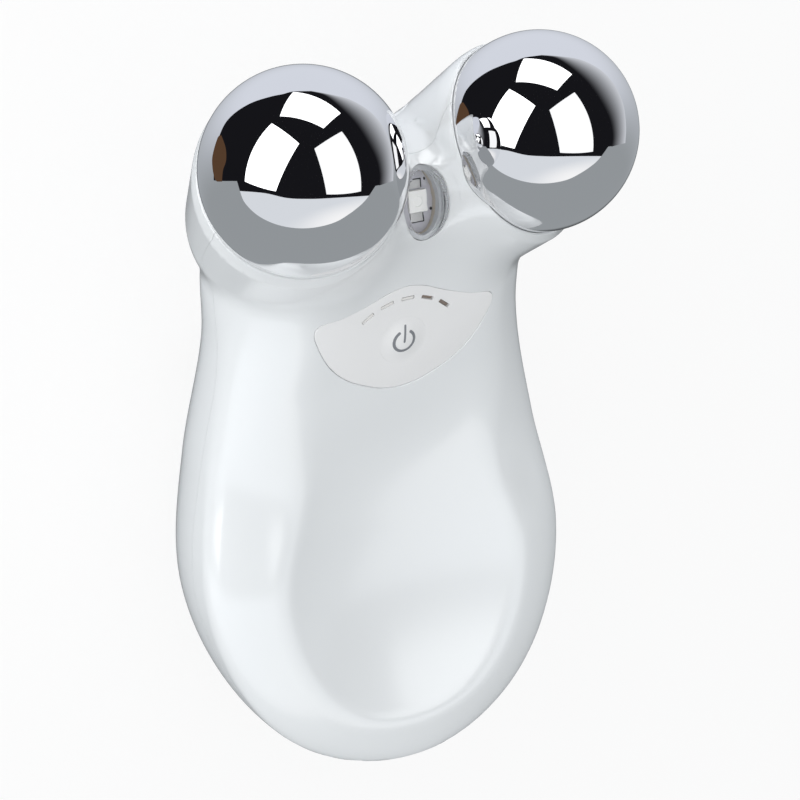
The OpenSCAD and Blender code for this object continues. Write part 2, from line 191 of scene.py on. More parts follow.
def smin(a, b, k):
    """Smaller of a and b, rounded where they come within k of each other."""
    h = np.clip(0.5 + 0.5 * (b - a) / k, 0, 1)
    return b * (1 - h) + a * h - k * h * (1 - h)


def smax(a, b, k):
    return -smin(-a, -b, k)


def ease(a, b, y):
    """Smooth step from 0 at a to 1 at b."""
    t = np.clip((y - a) / (b - a), 0, 1)
    return t * t * (3 - 2 * t)


def front_z(x, y):
    return curve(FRONT_LINE, y) + SCOOP_CURVE * (1 - ease(*SCOOP_END, y)) * x * x


def section(p, y):
    """How far out p is across the grip's section at y, 1 on its untapered outline."""
    c = np.clip(y, TIP_Y + 1e-4, HEAD_Y - 1e-4)
    t = np.arccos(np.clip(1 - 2 * (c - TIP_Y) / (HEAD_Y - TIP_Y), -1, 1)) / math.pi
    a = cr(HALF_WIDTH, t)
    dz = p[:, 2] - cr(WIDEST_Z, t)
    h = np.where(dz > 0, cr(FRONT_RISE, t), cr(BACK_DROP, t))
    u = np.abs(p[:, 0]) / a
    v = np.abs(dz) / h
    k = (u ** ROUNDNESS + v ** ROUNDNESS + 1e-9) ** (1 / ROUNDNESS)
    return k, u, v, a, h


def body_d(p):
    """Distance from the grip's skin, about true near it, under zero inside."""
    y = p[:, 1]
    e = 0.25
    half = (HEAD_Y - TIP_Y) / 2
    k, u, v, a, h = section(p, y)
    ky = (section(p, y + e)[0] - section(p, y - e)[0]) / (2 * e)
    kx = k ** (1 - ROUNDNESS) * u ** (ROUNDNESS - 1) / a
    kz = k ** (1 - ROUNDNESS) * v ** (ROUNDNESS - 1) / h
    c = (y - (HEAD_Y + TIP_Y) / 2) / half
    g = np.sqrt(k * k + c * c)
    slope = np.sqrt((k * kx) ** 2 + (k * kz) ** 2 + (k * ky + c / half) ** 2) / g
    d = np.maximum((g - 1) / np.maximum(slope, 1e-3), -25)
    return smax(d, (p[:, 2] - front_z(p[:, 0], y)) * 0.95, EDGE_K)


def cone_d(p, a, b, ra, rb):
    """Distance from a cone with rounded ends, of radius ra at a and rb at b."""
    ba = b - a
    l2 = ba @ ba
    rr = ra - rb
    a2 = l2 - rr * rr
    pa = p - a
    y = pa @ ba
    z = y - l2
    x2 = ((pa * l2 - y[:, None] * ba) ** 2).sum(1)
    y2 = y * y * l2
    z2 = z * z * l2
    k = math.copysign(1, rr) * rr * rr * x2
    return np.where(
        np.sign(z) * a2 * z2 > k, np.sqrt(x2 + z2) / l2 - rb,
        np.where(np.sign(y) * a2 * y2 < k, np.sqrt(x2 + y2) / l2 - ra,
                 (np.sqrt(x2 * a2 / l2) + y * rr) / l2 - ra))


def folded(p):
    """The points, all brought to the right side."""
    q = p.copy()
    q[:, 0] = np.abs(q[:, 0])
    return q


def frame_of(origin, x_axis=(1, 0, 0), y_axis=(0, 1, 0), z_axis=(0, 0, 1)):
    m = np.eye(4)
    m[:3, 0] = x_axis
    m[:3, 1] = y_axis
    m[:3, 2] = z_axis
    m[:3, 3] = origin
    return m


def tilted(pos, angle):
    """Frame at pos, turned about X."""
    c, s = math.cos(angle), math.sin(angle)
    return frame_of(pos, [1, 0, 0], [0, c, s], [0, -s, c])


PANEL_M = tilted(PANEL_POS, PANEL_TILT)
LENS_M = tilted(LENS_POS, -LENS_FALL)


def above_lip(q):
    """Over zero outside the tapered lip of a ball cup."""
    off = q - BALL
    z = off @ ARM_AXIS
    r = np.sqrt(np.maximum((off * off).sum(1) - z * z, 0))
    x = np.maximum(r - LIP_R, 0) / LIP_REACH
    fade = (LIP_FALL + LIP_SPARE) * np.exp(-x * x)
    return (z + RIM_BACK + LIP_FALL - fade) / np.sqrt(1 + (2 * x / LIP_REACH * fade) ** 2)


def in_flare(p):
    """Over zero inside the shallow flare that opens round the lens."""
    x, y, z = ((p - LENS_POS) @ LENS_M[:3, :3]).T
    q = np.sqrt((x / LENS_A) ** 2 + (y / LENS_B) ** 2) + 1e-6
    out = (q - 1) * q / np.sqrt((x / LENS_A ** 2) ** 2 + (y / LENS_B ** 2) ** 2 + 1e-9)
    side = (FLARE_STEP + FLARE_SLOPE * np.maximum(z, -FLARE_LOW) - out) / math.hypot(1, FLARE_SLOPE)
    return np.minimum(side, z + FLARE_FLOOR)


def skin_d(p):
    """Distance from the outside of the whole housing, its arms blended in."""
    q = folded(p)
    rim = BALL - RIM_BACK * ARM_AXIS + RIM_SHIFT
    arm = cone_d(q, ARM_BASE, rim, ARM_R0, ARM_R1)
    middle = 1 - ease(*VALLEY_X, q[:, 0])
    middle *= 1 - ease(*VALLEY_Y, p[:, 1])
    middle *= ease(*VALLEY_Z, p[:, 2])
    d = smin(body_d(p), arm, BLEND_OUT + (BLEND_IN - BLEND_OUT) * middle)
    d = smax(d, BACK_Z - p[:, 2], BACK_K)
    d = smax(d, above_lip(q), LIP_K)
    return smax(d, in_flare(p), FLARE_K)


def cavity_d(p):
    """Under zero in the hollow, which keeps clear of the cups and the lens's boss."""
    cup = CUP_R + CUP_WALL - np.linalg.norm(folded(p) - BALL, axis=1)
    off = p - LENS_POS
    boss = BOSS_R - np.sqrt((off[:, 0] * 1.2) ** 2 + (off[:, 1] * 0.9) ** 2)
    boss = np.where(p[:, 2] > BOSS_Z, boss, -9)
    return smax(smax(skin_d(p) + WALL, cup, HOLLOW_K), boss, HOLLOW_K)


def gradient(f, p, e=0.02):
    """Slope of f at the points, by central differences."""
    return np.stack([(f(p + e * np.eye(3)[i]) - f(p - e * np.eye(3)[i])) / (2 * e)
                     for i in range(3)], 1)


def onto(f, verts, steps, reach=0.4):
    """Newton steps that carry the points onto f = 0, none longer than reach."""
    for _ in range(steps):
        g = gradient(f, verts)
        move = g * (f(verts) / np.maximum((g * g).sum(1), 0.2))[:, None]
        size = np.linalg.norm(move, axis=1)
        verts = verts - move * np.minimum(1, reach / np.maximum(size, 1e-9))[:, None]
    return verts


def relaxed(verts, faces):
    """Each point moved halfway to the mean of its neighbours."""
    total = np.zeros_like(verts)
    count = np.zeros(len(verts))
    for a, b in ((0, 1), (1, 2), (2, 3), (3, 0)):
        for i, j in ((faces[:, a], faces[:, b]), (faces[:, b], faces[:, a])):
            np.add.at(total, i, verts[j])
            np.add.at(count, i, 1)
    mean = total / np.maximum(count, 1)[:, None]
    return verts + 0.5 * (mean - verts)


def sampled(f, lo, hi, h):
    """Values of f on a grid of step h."""
    axes = [np.arange(a, b + h, h) for a, b in zip(lo, hi)]
    v = np.empty([len(a) for a in axes])
    yy, zz = np.meshgrid(axes[1], axes[2], indexing="ij")
    for i, x in enumerate(axes[0]):
        pts = np.stack([np.full(yy.size, x), yy.ravel(), zz.ravel()], 1)
        v[i] = f(pts).reshape(yy.shape)
    return v


def net_points(v, cells):
    """In each cell the mean of the places where its edges cross zero, in grid steps."""
    acc = np.zeros((len(cells), 3))
    cnt = np.zeros(len(cells))
    for a in CORNERS:
        for ax in range(3):
            if a[ax]:
                continue
            b = list(a)
            b[ax] = 1
            va = v[tuple((cells + a).T)]
            vb = v[tuple((cells + b).T)]
            cross = (va < 0) != (vb < 0)
            t = np.where(cross, va / np.where(cross, va - vb, 1), 0)
            pos = np.tile(np.array(a, float), (len(cells), 1))
            pos[:, ax] += t
            acc += pos * cross[:, None]
            cnt += cross
    return cells + acc / cnt[:, None]


def surface_net(f, h, rounds=3):
    """Closed quad mesh of the surface f = 0, relaxed and drawn onto it."""
    v = sampled(f, NET_LO, NET_HI, h)
    shape = v.shape
    inside = v < 0
    total = sum(inside[i:shape[0] - 1 + i, j:shape[1] - 1 + j, k:shape[2] - 1 + k].astype(int)
                for i, j, k in CORNERS)
    mixed = (total > 0) & (total < 8)
    index = -np.ones(mixed.shape, int)
    cells = np.argwhere(mixed)
    index[mixed] = np.arange(len(cells))
    verts = net_points(v, cells) * h + np.array(NET_LO)
    faces = np.concatenate([net_faces(inside, index, ax, shape) for ax in range(3)])
    verts = onto(f, verts, 4)
    for _ in range(rounds):
        verts = onto(f, relaxed(verts, faces), 3)
    return verts, faces


def net_faces(inside, index, ax, shape):
    """Quads round the grid edges along axis ax that cross the surface."""
    o1, o2 = [(1, 2), (2, 0), (0, 1)][ax]
    near = [slice(None)] * 3
    far = [slice(None)] * 3
    near[ax] = slice(0, shape[ax] - 1)
    far[ax] = slice(1, shape[ax])
    ia, ib = inside[tuple(near)], inside[tuple(far)]
    e = np.argwhere(ia != ib)
    ok = (e[:, o1] > 0) & (e[:, o2] > 0)
    ok &= (e[:, o1] < shape[o1] - 1) & (e[:, o2] < shape[o2] - 1)
    e = e[ok]
    flip = ~ia[tuple(e.T)]
    quad = []
    for d1, d2 in ((-1, -1), (0, -1), (0, 0), (-1, 0)):
        q = e.copy()
        q[:, o1] += d1
        q[:, o2] += d2
        quad.append(index[tuple(q.T)])
    quad = np.stack(quad, 1)
    quad[flip] = quad[flip][:, ::-1]
    return quad


# ---------------------------------------------------------------- mesh helpers
def new_mesh(name, verts, faces, m=None):
    """Mesh object from points in mm, placed by the frame m."""
    v = np.asarray(verts, float)
    if m is not None:
        v = v @ m[:3, :3].T + m[:3, 3]
    me = bpy.data.meshes.new(name)
    me.from_pydata((v * MM).tolist(), [], [list(map(int, f)) for f in faces])
    me.update()
    obj = bpy.data.objects.new(name, me)
    bpy.context.scene.collection.objects.link(obj)
    return obj


def fix_normals(obj):
    bm = bmesh.new()
    bm.from_mesh(obj.data)
    bmesh.ops.recalc_face_normals(bm, faces=bm.faces)
    if bm.calc_volume(signed=True) < 0:
        bmesh.ops.reverse_faces(bm, faces=bm.faces)
    bm.to_mesh(obj.data)
    bm.free()


def smooth(obj, degrees=35):
    obj.data.shade_smooth()
    obj.data.set_sharp_from_angle(angle=math.radians(degrees))


def ring_faces(rings):
    """Faces between rings of vertex numbers. A ring of one number is a pole."""
    faces = []
    for a, b in zip(rings[:-1], rings[1:]):
        n = max(len(a), len(b))
        for k in range(n):
            k2 = (k + 1) % n
            if len(a) == 1:
                faces.append((a[0], b[k2], b[k]))
            elif len(b) == 1:
                faces.append((a[k], a[k2], b[0]))
            else:
                faces.append((a[k], a[k2], b[k2], b[k]))
    return faces


def lathe(name, profile, m=None, n=144):
    """Closed solid of revolution about Z from (r, z) points, each r = 0 point a pole."""
    verts = []
    rings = []
    for r, z in profile:
        if r == 0:
            rings.append([len(verts)])
            verts.append((0, 0, z))
        else:
            rings.append(list(range(len(verts), len(verts) + n)))
            verts.extend((r * math.cos(2 * math.pi * k / n), r * math.sin(2 * math.pi * k / n), z)
                         for k in range(n))
    if profile[0][0] > 0:
        rings.append(rings[0])
    obj = new_mesh(name, verts, ring_faces(rings), m)
    fix_normals(obj)
    return obj


def outline_normals(pts):
    """Outward directions at the points of a closed 2-D outline."""
    nxt = np.roll(pts, -1, 0)
    t = nxt - np.roll(pts, 1, 0)
    t /= np.maximum(np.linalg.norm(t, axis=1), 1e-9)[:, None]
    nrm = np.stack([t[:, 1], -t[:, 0]], 1)
    area = 0.5 * np.sum(pts[:, 0] * nxt[:, 1] - nxt[:, 0] * pts[:, 1])
    return nrm if area > 0 else -nrm


def prism(name, outline, levels, m):
    """Solid over a 2-D outline. Levels are (z, grow) from the bottom up, z a number or a row."""
    pts = np.asarray(outline, float)
    nrm = outline_normals(pts)
    n = len(pts)
    rows = []
    for z, grow in levels:
        q = pts + nrm * grow
        rows.append(np.column_stack([q, np.broadcast_to(z, n)]))
    rings = [list(range(i * n, i * n + n)) for i in range(len(levels))]
    faces = ring_faces(rings)
    faces.append(tuple(rings[0]))
    faces.append(tuple(rings[-1][::-1]))
    obj = new_mesh(name, np.concatenate(rows), faces, m)
    fix_normals(obj)
    return obj


def boolean(obj, cutter, op="DIFFERENCE"):
    """The object's mesh after the cut, with no modifier left on it."""
    mod = obj.modifiers.new("cut", "BOOLEAN")
    mod.operation = op
    mod.solver = "MANIFOLD"
    mod.object = cutter
    dg = bpy.context.evaluated_depsgraph_get()
    me = bpy.data.meshes.new_from_object(obj.evaluated_get(dg))
    obj.modifiers.clear()
    old = obj.data
    obj.data = me
    bpy.data.meshes.remove(old)


def drop(obj):
    me = obj.data
    bpy.data.objects.remove(obj)
    bpy.data.meshes.remove(me)


def ball_frame(side):
    """Frame in a ball's middle, its Z along the arm."""
    cl, sl = math.cos(ARM_LEAN), math.sin(ARM_LEAN)
    ct, st = math.cos(ARM_TURN), math.sin(ARM_TURN)
    m = frame_of(BALL, [ct * cl, st * cl, -sl], [-st, ct, 0], ARM_AXIS)
    if side < 0:
        m[0, :] *= -1
    return m


# ---------------------------------------------------------------- outlines
def oval(a, b, n=96):
    t = np.arange(n) * 2 * math.pi / n
    return np.stack([a * np.cos(t), b * np.sin(t)], 1)


def rounded_box(w, h, r, n=5):
    pts = []
    for cx, cy, start in ((w / 2 - r, h / 2 - r, 0), (r - w / 2, h / 2 - r, 90),
                          (r - w / 2, r - h / 2, 180), (w / 2 - r, r - h / 2, 270)):
        for k in range(n + 1):
            a = math.radians(start + 90 * k / n)
            pts.append((cx + r * math.cos(a), cy + r * math.sin(a)))
    return np.array(pts)


def circle_arc(r, z0, z1, n):
    """(r, z) points of a circle about the origin from height z0 to z1."""
    a0, a1 = math.asin(z0 / r), math.asin(z1 / r)
    steps = [a0 + (a1 - a0) * i / n for i in range(n + 1)]
    return [(r * math.cos(a), r * math.sin(a)) for a in steps]


def smooth_closed(points, per=6):
    """Closed Catmull-Rom curve through 2-D points."""
    p = np.asarray(points, float)
    n = len(p)
    out = []
    for i in range(n):
        p0, p1, p2, p3 = p[i - 1], p[i], p[(i + 1) % n], p[(i + 2) % n]
        for k in range(per):
            f = k / per
            out.append(0.5 * (2 * p1 + (p2 - p0) * f + (2 * p0 - 5 * p1 + 4 * p2 - p3) * f * f
                              + (3 * p1 - p0 - 3 * p2 + p3) * f ** 3))
    return np.array(out)


PANEL_HALF = [
    (0, 9.1), (1.75, 8.85), (3.4, 8.4), (5.2, 7.65), (7.5, 6.8), (9.5, 6.2), (11.3, 5.7),
    (13.2, 5.45), (14.5, 5.1), (15.05, 4.2), (14.85, 2.8), (13.6, 0.1), (12.15, -2.15),
    (10.2, -4.15), (8.15, -5.6), (6.1, -6.6), (4.15, -7.4), (2.45, -7.9), (0, -8.15)]


def panel_outline():
    other = [(-x, y) for x, y in PANEL_HALF[-2:0:-1]]
    return smooth_closed(PANEL_HALF + other)


def slot_frames():
    """Frames of the five level lights, on the panel."""
    out = []
    for k in range(-2, 3):
        a = k * SLOT_STEP
        c, s = math.cos(a), math.sin(a)
        local = frame_of([SLOT_ARC_R * s, SLOT_Y0 + SLOT_ARC_R * c, 0], [c, -s, 0], [s, c, 0])
        out.append(PANEL_M @ local)
    return out


def skin_height(m, pts):
    """Height of the skin over the 2-D points in the frame m, by halving."""
    lo = np.full(len(pts), -5.0)
    hi = np.full(len(pts), 5.0)
    for _ in range(20):
        z = (lo + hi) / 2
        inside = skin_d(np.column_stack([pts, z]) @ m[:3, :3].T + m[:3, 3]) < 0
        lo = np.where(inside, z, lo)
        hi = np.where(inside, hi, z)
    return z


LENS_RIM = skin_height(LENS_M, oval(LENS_A, LENS_B))


# ---------------------------------------------------------------- materials
BUMP_HEIGHT = 0.0002


def add_node(nt, kind, values=None, feeds=None, **settings):
    """New shader node: its settings, fixed input values and the sockets that feed it."""
    node = nt.nodes.new(kind)
    for key, value in settings.items():
        setattr(node, key, value)
    for key, value in (values or {}).items():
        node.inputs[key].default_value = value
    for key, socket in (feeds or {}).items():
        nt.links.new(socket, node.inputs[key])
    return node


def map_range(nt, socket, span, to=(0.0, 1.0), kind="SMOOTHSTEP"):
    """The socket's value carried from one span to another."""
    values = {"From Min": span[0], "From Max": span[1], "To Min": to[0], "To Max": to[1]}
    node = add_node(nt, "ShaderNodeMapRange", values, {"Value": socket}, interpolation_type=kind)
    return node.outputs["Result"]


def dot_with(nt, socket, axis):
    return add_node(nt, "ShaderNodeVectorMath", {1: axis}, {0: socket},
                    operation="DOT_PRODUCT").outputs["Value"]


def mixed_color(nt, factor, low, high):
    node = add_node(nt, "ShaderNodeMix", {"A": (*low, 1), "B": (*high, 1)}, {"Factor": factor},
                    data_type="RGBA")
    return node.outputs["Result"]


def noise_factor(nt, scale, detail):
    coord = add_node(nt, "ShaderNodeTexCoord")
    noise = add_node(nt, "ShaderNodeTexNoise", {"Scale": scale, "Detail": detail},
                     {"Vector": coord.outputs["Object"]})
    return noise.outputs["Fac"]


def surface(name, color, rough, metallic=0.0, coat=0.0, coat_rough=0.03, spread=0.03,
            rough_spread=0.04, scale=60.0, bump=0.02, bump_scale=400.0, ior=1.5,
            transmission=0.0, coat_ior=1.5):
    """Noise varies colour and roughness a little, and a fine bump breaks the gloss."""
    mat = bpy.data.materials.new(name)
    mat.use_nodes = True
    nt = mat.node_tree
    inputs = nt.nodes["Principled BSDF"].inputs
    fac = noise_factor(nt, scale, 4)
    low = [max(0, c * (1 - spread)) for c in color]
    high = [min(1, c * (1 + spread)) for c in color]
    nt.links.new(mixed_color(nt, fac, low, high), inputs["Base Color"])
    span = (max(0.0, rough - rough_spread), min(1.0, rough + rough_spread))
    nt.links.new(map_range(nt, fac, (0.0, 1.0), span, "LINEAR"), inputs["Roughness"])
    if bump > 0:
        grain = add_node(nt, "ShaderNodeBump", {"Strength": bump, "Distance": BUMP_HEIGHT},
                         {"Height": noise_factor(nt, bump_scale, 3)})
        nt.links.new(grain.outputs["Normal"], inputs["Normal"])
    for key, value in (("Metallic", metallic), ("Coat Weight", coat),
                       ("Coat Roughness", coat_rough), ("Coat IOR", coat_ior),
                       ("IOR", ior), ("Transmission Weight", transmission)):
        inputs[key].default_value = value
    return mat


def dress(obj, mat):
    obj.data.materials.clear()
    obj.data.materials.append(mat)


def bare_tree(data, output="ShaderNodeOutputMaterial"):
    """Node tree with only its output node, and that node's surface socket."""
    data.use_nodes = True
    nt = data.node_tree
    nt.nodes.clear()
    return nt, nt.nodes.new(output).inputs["Surface"]


def emitter(name, color, strength):
    mat = bpy.data.materials.new(name)
    nt, out = bare_tree(mat)
    em = add_node(nt, "ShaderNodeEmission", {"Color": (*color, 1), "Strength": strength})
    nt.links.new(em.outputs[0], out)
    return mat


def place(obj, mat, *nodes, body="device"):
    """The piece in its finish, riding its body and standing for the CAD nodes."""
    dress(obj, mat)
    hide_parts(*nodes)
    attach(obj, body)


# ---------------------------------------------------------------- housing
def cup_cutters(side):
    """Ball pocket with its lip, and the hole for the ball's neck."""
    m = ball_frame(side)
    pocket = [(0, -CUP_R)] + circle_arc(CUP_R, 0.001 - CUP_R, -RIM_BACK - 0.14, 60)[1:]
    lip = [(14.03, -RIM_BACK - 0.08), (14.06, -RIM_BACK - 0.03), (14.11, -RIM_BACK)]
    for r in np.arange(14.2, 17.05, 0.1):
        fade = math.exp(-(max(r - LIP_R, 0) / LIP_REACH) ** 2)
        lip.append((r, -RIM_BACK - LIP_FALL * (1 - fade)))
    far = [(21, -RIM_BACK - LIP_FALL), (21, 32), (0, 32)]
    neck = [(0, -18), (NECK_HOLE_R, -18), (NECK_HOLE_R, -13), (0, -13)]
    return [lathe("rim_cut", pocket + lip + far, m, n=180), lathe("neck_cut", neck, m, n=48)]


def front_cutters():
    """Recess of the panel, seat of the lens and well of the button."""
    outline = panel_outline()
    top = skin_height(PANEL_M, outline)
    recess = [(-0.9, 0.04), (top - 0.16, 0.04), (top - 0.08, 0.07), (top - 0.03, 0.13),
              (top - 0.005, 0.22), (top + 0.01, 0.34), (top + 1.5, 2.5)]
    seat = [(-9.5, 0.08), (LENS_RIM - 0.25, 0.08), (LENS_RIM - 0.12, 0.13),
            (LENS_RIM - 0.03, 0.23), (LENS_RIM + 0.03, 0.37), (LENS_RIM + 1, 1.3)]
    return [prism("panel_cut", outline, recess, PANEL_M),
            prism("lens_cut", oval(LENS_A, LENS_B), seat, LENS_M),
            prism("button_cut", oval(BUTTON_WELL_R, BUTTON_WELL_R), [(-6, 0), (2, 0)], PANEL_M)]


def rear_cutters():
    """Holes for the jack, the rest plate and the screw plugs."""
    jack = frame_of([0, TIP_Y - 3, JACK_Z], [1, 0, 0], [0, 0, -1], [0, 1, 0])
    cutters = [prism("jack_cut", oval(JACK_HOLE_R, JACK_HOLE_R, 64), [(0, 0), (14, 0)], jack),
               prism("plate_cut", oval(*PLATE_HOLE), [(-2, 0), (0.9, 0)],
                     frame_of([0, PLATE_Y, 0]))]
    for x, y in PLUG_SPOTS:
        for s in (1, -1):
            cutters.append(prism("plug_cut", oval(PLUG_HOLE_R, PLUG_HOLE_R, 48),
                                 [(-2, 0), (13, 0)], frame_of([s * x, y, 0])))
    return cutters


def housing_halves():
    skin = new_mesh("skin", *surface_net(skin_d, SKIN_CELL))
    hollow = new_mesh("hollow", *surface_net(cavity_d, HOLLOW_CELL, rounds=1))
    fix_normals(skin)
    fix_normals(hollow)
    boolean(skin, hollow)
    drop(hollow)
    for cutter in cup_cutters(1) + cup_cutters(-1) + front_cutters() + rear_cutters():
        boolean(skin, cutter)
        drop(cutter)
    rear = bpy.data.objects.new("rear", skin.data.copy())
    bpy.context.scene.collection.objects.link(rear)
    ys = np.arange(-64, 70.1, 1.0)
    side_view = frame_of([0, 0, 0], [0, 1, 0], [0, 0, 1], [1, 0, 0])
    for obj, lift, top in ((skin, SEAM_HALF_GAP, 90), (rear, -SEAM_HALF_GAP, -10)):
        line = [(y, z + lift) for y, z in zip(ys, curve(SEAM_LINE, ys))]
        cut = prism("seam_cut", line + [(70, top), (-64, top)], [(-50, 0), (50, 0)], side_view)
        boolean(obj, cut, "INTERSECT")
        drop(cut)
    return skin, rear


def loop_arrays(me):
    """Vertex places in mm, each loop's vertex, face normal and smoothed normal."""
    co = np.empty(len(me.vertices) * 3)
    me.vertices.foreach_get("co", co)
    vert = np.empty(len(me.loops), int)
    me.loops.foreach_get("vertex_index", vert)
    starts = np.empty(len(me.polygons), int)
    me.polygons.foreach_get("loop_start", starts)
    flat = np.empty(len(me.polygons) * 3)
    me.polygons.foreach_get("normal", flat)
    face = np.searchsorted(starts, np.arange(len(vert)), side="right") - 1
    soft = np.empty(len(me.loops) * 3)
    me.corner_normals.foreach_get("vector", soft)
    return co.reshape(-1, 3) / MM, vert, flat.reshape(-1, 3)[face], soft.reshape(-1, 3)


def shade_from_form(obj):
    """The form's own normals on the skin, radial ones in the cups, smoothed ones elsewhere."""
    me = obj.data
    smooth(obj, 32)
    co, vert, flat, normals = loop_arrays(me)
    g = gradient(skin_d, co)
    g /= np.maximum(np.linalg.norm(g, axis=1), 1e-9)[:, None]
    on_skin = np.abs(skin_d(co)) < SKIN_REACH
    rad = folded(co) - BALL
    dist = np.linalg.norm(rad, axis=1)
    cup = -rad / np.maximum(dist, 1e-9)[:, None]
    cup[:, 0] *= np.sign(co[:, 0])
    in_cup = np.abs(dist - CUP_R) < CUP_REACH
    use = on_skin[vert] & ((g[vert] * flat).sum(1) > SKIN_TURN)
    normals[use] = g[vert][use]
    use = ~use & in_cup[vert] & ((cup[vert] * flat).sum(1) > CUP_TURN)
    normals[use] = cup[vert][use]
    me.normals_split_custom_set(normals.tolist())


# ---------------------------------------------------------------- pieces
def make_ball(side):
    bore = 3.05
    inner_r = BALL_R - BALL_WALL
    outer = circle_arc(BALL_R, -math.sqrt(BALL_R ** 2 - bore ** 2), BALL_R, 120)
    inner = circle_arc(inner_r, -math.sqrt(inner_r ** 2 - bore ** 2), inner_r, 40)[::-1]
    outer[-1] = (0, BALL_R)
    inner[0] = (0, inner_r)
    obj = lathe("ball", inner + outer, ball_frame(side), 220)
    obj.data.shade_smooth()
    return obj


def make_panel():
    obj = prism("panel", panel_outline(), [(-0.85, 0), (-0.14, 0), (-0.05, -0.025),
                                           (-0.015, -0.07), (0, -0.14)], PANEL_M)
    hole = prism("hole", oval(PANEL_HOLE_R, PANEL_HOLE_R, 192), [(-3, 0), (3, 0)], PANEL_M)
    boolean(obj, hole)
    drop(hole)
    for m in slot_frames():
        cut = prism("slot", rounded_box(SLOT_LEN, SLOT_WIDE, 0.12), [(-3, 0), (3, 0)], m)
        boolean(obj, cut)
        drop(cut)
    smooth(obj, 25)
    return obj


def dome_z(r):
    """Height of the button's dome."""
    return DOME_RISE * (0.5 + 0.5 * math.cos(math.pi * min(r, DOME_R) / DOME_R)) ** 0.85


def make_button():
    rs = [DOME_R - DOME_R * i / 26 for i in range(27)]
    top = [(r, dome_z(r)) for r in rs]
    top[-1] = (0, dome_z(0))
    profile = [(0, -4.2), (1.6, -4.2), (1.6, -3.4), (4.6, -3.4), (4.6, -2.5),
               (BUTTON_R, -2.5), (BUTTON_R, -0.04), (BUTTON_R - 0.003, 0)] + top
    obj = lathe("button", profile, PANEL_M, 192)
    smooth(obj, 30)
    return obj


def draped(name, outline, lift, m):
    """Thin film over the button's dome, its top raised by lift."""
    n = len(outline)
    low = [(x, y, dome_z(math.hypot(x, y)) - 0.05) for x, y in outline]
    high = [(x, y, dome_z(math.hypot(x, y)) + lift) for x, y in outline]
    half = n // 2
    faces = [(k, (k + 1) % n, n + (k + 1) % n, n + k) for k in range(n)]
    for k in range(half - 1):
        a, b, c, d = k, k + 1, n - 2 - k, n - 1 - k
        faces.append((n + a, n + b, n + c, n + d))
        faces.append((a, b, c, d))
    obj = new_mesh(name, low + high, faces, m)
    fix_normals(obj)
    return obj


def stroke(line, width):
    """Outline of a line with rounded ends: out along one side and back along the other."""
    p = np.asarray(line, float)
    t = np.gradient(p, axis=0)
    t /= np.linalg.norm(t, axis=1)[:, None]
    s = np.stack([-t[:, 1], t[:, 0]], 1) * width / 2
    fan = np.radians([80, 60, 40, 20, 5])

    def cap(point, along, side):
        return [point + side * math.sin(f) + along * math.cos(f) * width / 2 for f in fan]

    upper = cap(p[0], -t[0], s[0])[::-1] + list(p + s) + cap(p[-1], t[-1], s[-1])
    lower = cap(p[0], -t[0], -s[0])[::-1] + list(p - s) + cap(p[-1], t[-1], -s[-1])
    return np.array(upper + lower[::-1])


def make_symbol():
    ring = [(MARK_R * math.sin(a), MARK_R * math.cos(a))
            for a in np.radians(np.linspace(34, 326, 60))]
    bar = [(0, y) for y in np.linspace(-0.1, 2.5, 12)]
    arc = draped("ring", stroke(ring, 0.45), MARK_LIFT, PANEL_M)
    line = draped("bar", stroke(bar, 0.33), MARK_LIFT, PANEL_M)
    return arc, line


def make_guide(m, top, gap):
    """Light guide that leaves a gap along the slot's upper side."""
    box = rounded_box(SLOT_LEN - 0.1, SLOT_WIDE - gap - 0.02, 0.1) - [0, gap / 2]
    return prism("guide", box, [(-6.95, 0), (top - 0.05, 0), (top, -0.04)], m)


def make_gap_shade(m, gap):
    """Painted shade: a dark strip under a guide, standing for the shade seen in the gap above it."""
    strip = rounded_box(SLOT_LEN - 0.1, gap, 0.05) + [0, (SLOT_WIDE - gap) / 2]
    return prism("gap", strip, [(-6.95, 0), (-0.14, 0)], m)


def lens_top(k):
    """Heights of the lens's top at the share k of the way out to its rim."""
    return LENS_MID + (LENS_RIM - LENS_MID) * k * k


def lens_shell():
    """Clear cap: domed top flush with the housing, polished bevel, skirt round an open underside."""
    ring = oval(LENS_A, LENS_B)
    n = len(ring)
    inner = ring - outline_normals(ring) * LENS_WALL
    rows = [(inner * k, lens_top(k * 0.82) - 0.6) for k in (0.3, 0.6, 0.85, 0.97)]
    rows += [(inner, lens_top(0.82) - 0.75), (inner, -1.9), (ring, -1.9)]
    rows += [(ring, LENS_RIM - 0.26), (ring * 0.988, LENS_RIM - 0.12), (ring * 0.96, lens_top(0.96))]
    rows += [(ring * k, lens_top(k)) for k in (0.88, 0.75, 0.6, 0.45, 0.3, 0.15)]
    verts = [(0, 0, LENS_MID - 0.6)]
    rings = [[0]]
    for pts, z in rows:
        rings.append(list(range(len(verts), len(verts) + n)))
        verts.extend(np.column_stack([pts, np.broadcast_to(z, n)]).tolist())
    rings.append([len(verts)])
    verts.append((0, 0, LENS_MID))
    obj = new_mesh("lens", verts, ring_faces(rings), LENS_M)
    fix_normals(obj)
    smooth(obj, 35)
    return obj


def oval_tube(name, z0, z1):
    outer = oval(LENS_A, LENS_B)
    inner = outer - outline_normals(outer) * LENS_WALL
    n = len(outer)
    rows = [(outer, z0), (outer, z1), (inner, z1), (inner, z0)]
    verts = np.concatenate([np.column_stack([p, np.full(n, z)]) for p, z in rows])
    rings = [list(range(i * n, i * n + n)) for i in range(4)]
    obj = new_mesh(name, verts, ring_faces(rings + [rings[0]]), LENS_M)
    fix_normals(obj)
    smooth(obj, 30)
    return obj


